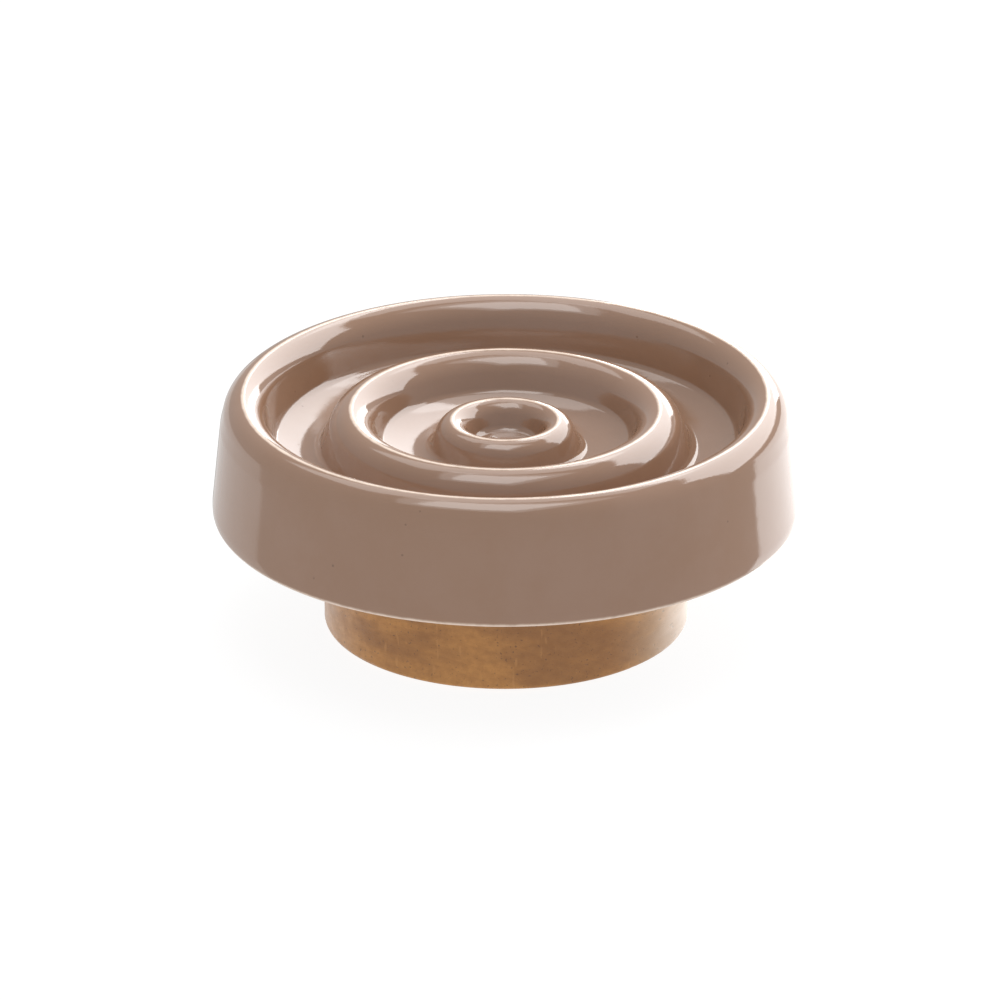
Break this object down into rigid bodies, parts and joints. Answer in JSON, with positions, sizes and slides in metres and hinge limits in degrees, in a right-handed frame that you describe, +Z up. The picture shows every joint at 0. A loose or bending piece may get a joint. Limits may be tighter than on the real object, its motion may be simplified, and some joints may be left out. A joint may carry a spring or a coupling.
{
  "type": "slow feeder dish",
  "caption": "Round glazed stoneware dish with concentric pointed ridges and troughs, lifting off a turned wooden base on soft foot pads.",
  "frame": {"origin": "on the resting plane, under the centre of the dish", "axes": "+Z up along the axis that the dish and base are turned about; the X and Y axes run between the foot pads"},
  "size_m": [0.164, 0.164, 0.0683],
  "materials": {
    "glazed_stoneware": "gloss taupe glaze that thins to cream on the crests and the skirt's edge",
    "oiled_wood": "oiled, satin",
    "silicone": "matt translucent white silicone"
  },
  "bodies": {
    "base": {"wooden_base": "oiled_wood", "grip_ring": "silicone", "foot_pad_1": "silicone", "foot_pad_2": "silicone", "foot_pad_3": "silicone", "foot_pad_4": "silicone"},
    "dish": {"dish": "glazed_stoneware"}
  },
  "joints": [
    {"name": "dish_lift", "type": "slide", "parent": "base", "child": "dish", "axis": [0, 0, 1], "range_m": [0, 0.05]}
  ]
}
